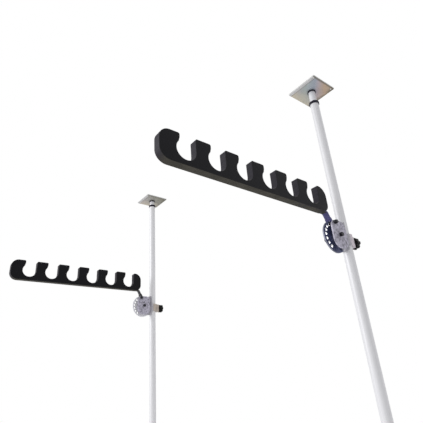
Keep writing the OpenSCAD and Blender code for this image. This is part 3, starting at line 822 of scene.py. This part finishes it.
class RODRACK_OT_cheeks(RodRackOperator):
    """Makes the cheek plates and their countersunk screws"""

    bl_idname = "rod_rack.cheeks"
    bl_label = "Cheeks"

    def execute(self, context):
        width = context.scene.rod_rack.edge_break
        for side in SIDES:
            for part in ("near_cheek", "far_cheek"):
                rounded(f"{side}_{part}", width, "cast", "cheek_metal", "cheek")
            plain(f"{side}_cheek_screws", "flush", "cheek_screw", "cheek")
        return {"FINISHED"}


class RODRACK_OT_pivots(RodRackOperator):
    """Makes the pivot bolts, nuts and spacers"""

    bl_idname = "rod_rack.pivots"
    bl_label = "Pivots"

    def execute(self, context):
        width = context.scene.rod_rack.fine_break
        for side in SIDES:
            for part in ("pivot_bolt", "pivot_nut"):
                rounded(f"{side}_{part}", width, "turned", "black_fastener", "black screw")
            spacers = f"{side}_pivot_spacers"
            rounded(spacers, width, "turned", "bright_fastener", "bright screw")
        return {"FINISHED"}


class RODRACK_OT_index_pins(RodRackOperator):
    """Makes the sprung index pins, their barrels and springs"""

    bl_idname = "rod_rack.index_pins"
    bl_label = "Index pins"

    def execute(self, context):
        look = context.scene.rod_rack
        width = look.fine_break
        for side in SIDES:
            for part in ("pin_barrel", "index_pin"):
                rounded(f"{side}_{part}", width, "turned", "black_fastener", "black screw")
            spring(side, "pin", "pin_pull", AWAY, look.pin_wire, look.pin_turns)
        return {"FINISHED"}


class RODRACK_OT_boards(RodRackOperator):
    """Makes the slotted boards and the screws that hold them"""

    bl_idname = "rod_rack.boards"
    bl_label = "Boards"

    def execute(self, context):
        width = context.scene.rod_rack.board_round
        for side in SIDES:
            node = f"{side}_board"
            bm = solid_from(node)
            break_edges(bm, width, segments=3)
            for face in bm.faces:
                face.material_index = int(abs(face.normal.y) < SQUARE_ON)
            skin, cut = finish("sheet"), finish("edge")
            finished(bm, f"{node}_routed", node, "board_plastic", skin, cut)
            plain(f"{side}_board_screws", "turned", "black_fastener", "black screw")
        return {"FINISHED"}


# Stage


def lamp(name, place, aim, side, watts):
    """Adds a square white lamp."""
    data = bpy.data.lights.new(name, "AREA")
    data.shape = "SQUARE"
    data.size = side
    data.energy = watts
    obj = bpy.data.objects.new(name, data)
    obj.location = place
    obj.rotation_euler = (Vector(aim) - Vector(place)).to_track_quat("-Z", "Y").to_euler()
    bpy.context.scene.collection.objects.link(obj)


class RODRACK_OT_stage(RodRackOperator):
    """Sets up the floor, backdrop, lamps and camera"""

    bl_idname = "rod_rack.stage"
    bl_label = "Stage"

    def execute(self, context):
        scene = context.scene
        stage = scene.rod_rack_stage
        self.backdrop(scene, stage)
        self.floor(stage)
        centre = (CAD_BOX[0] + CAD_BOX[1]) / 2
        racks = (centre.x, centre.y, RACK_HEIGHT)
        lamp("Key lamp", place=(-2.7, 1.7, 2.5), aim=racks, side=1.8, watts=42)
        lamp("Fill lamp", place=(2.4, -2.0, 1.4), aim=racks, side=2.4, watts=5)
        # It lies at the floor, because a lamp's plane shows as a break where it cuts a tube
        lamp("Low lamp", place=(-0.6, 0.2, 0.02), aim=(-0.6, 0.2, RACK_HEIGHT), side=1.6, watts=9)
        self.camera(scene, stage)
        scene.view_settings.view_transform = "Standard"
        return {"FINISHED"}

    def backdrop(self, scene, stage):
        """White where it is seen, softer where it lights the object."""
        world = bpy.data.worlds.new("Backdrop")
        scene.world = world
        world.use_nodes = True
        nodes, links = world.node_tree.nodes, world.node_tree.links
        nodes.clear()
        path = nodes.new("ShaderNodeLightPath")
        seen = path.outputs["Is Camera Ray"]
        for ray in ("Is Glossy Ray", "Is Transmission Ray"):
            either = nodes.new("ShaderNodeMath")
            either.operation = "MAXIMUM"
            links.new(seen, either.inputs[0])
            links.new(path.outputs[ray], either.inputs[1])
            seen = either.outputs[0]
        strength = nodes.new("ShaderNodeMapRange")
        strength.inputs["To Min"].default_value = stage.sky
        strength.inputs["To Max"].default_value = 1.0
        links.new(seen, strength.inputs["Value"])
        sky = nodes.new("ShaderNodeBackground")
        links.new(strength.outputs["Result"], sky.inputs["Strength"])
        sky.inputs["Color"].default_value = (1, 1, 1, 1)
        out = nodes.new("ShaderNodeOutputWorld")
        links.new(sky.outputs["Background"], out.inputs["Surface"])

    def floor(self, stage):
        """A pale square under the part."""
        bm = bmesh.new()
        bmesh.ops.create_grid(bm, x_segments=1, y_segments=1, size=stage.floor_size / 2)
        mesh = bpy.data.meshes.new("Floor")
        bm.to_mesh(mesh)
        bm.free()
        mesh.materials.append(Finish("Pale floor", stage.floor_colour, roughness=0.7).material)
        floor = bpy.data.objects.new("Floor", mesh)
        bpy.context.scene.collection.objects.link(floor)

    def camera(self, scene, stage):
        """The photograph's own view."""
        data = bpy.data.cameras.new("Camera")
        data.sensor_width = SENSOR_MM
        data.lens = stage.focal_px * SENSOR_MM / stage.photo_px
        data.clip_start, data.clip_end = CLIP_START, CLIP_END
        camera = bpy.data.objects.new("Camera", data)
        camera.matrix_world = (
            Matrix.Translation(stage.eye)
            @ Matrix.Rotation(stage.yaw, 4, "Z")
            @ Matrix.Rotation(stage.pitch, 4, "X")
            @ Matrix.Rotation(stage.roll, 4, "Y")
            @ Matrix.Rotation(QUARTER_TURN, 4, "X")
        )
        scene.collection.objects.link(camera)
        scene.camera = camera


class RODRACK_PT_panel(bpy.types.Panel):
    """Lists the rod rack's sizes, colours and operators"""

    bl_idname = "RODRACK_PT_panel"
    bl_label = "Rod rack"
    bl_space_type = "VIEW_3D"
    bl_region_type = "UI"
    bl_category = "Rod rack"

    def draw(self, context):
        for group in (context.scene.rod_rack, context.scene.rod_rack_stage):
            column = self.layout.column()
            for name in group.__annotations__:
                column.prop(group, name)
        for operator in OPERATORS:
            self.layout.operator(operator.bl_idname)


GROUPS = {"rod_rack": RodRackLook, "rod_rack_stage": RodRackStage}
OPERATORS = (
    RODRACK_OT_tubes,
    RODRACK_OT_end_plates,
    RODRACK_OT_collars,
    RODRACK_OT_pole_springs,
    RODRACK_OT_clamps,
    RODRACK_OT_clamp_screws,
    RODRACK_OT_knobs,
    RODRACK_OT_discs,
    RODRACK_OT_arms,
    RODRACK_OT_cheeks,
    RODRACK_OT_pivots,
    RODRACK_OT_index_pins,
    RODRACK_OT_boards,
    RODRACK_OT_stage,
)
CLASSES = (*GROUPS.values(), *OPERATORS, RODRACK_PT_panel)


def register():
    for cls in CLASSES:
        bpy.utils.register_class(cls)
    for name, group in GROUPS.items():
        setattr(bpy.types.Scene, name, PointerProperty(type=group))


def unregister():
    for name in GROUPS:
        delattr(bpy.types.Scene, name)
    for cls in reversed(CLASSES):
        bpy.utils.unregister_class(cls)


def main():
    register()
    for operator in OPERATORS:
        group, name = operator.bl_idname.split(".")
        getattr(getattr(bpy.ops, group), name)()


if __name__ == "__main__":
    main()
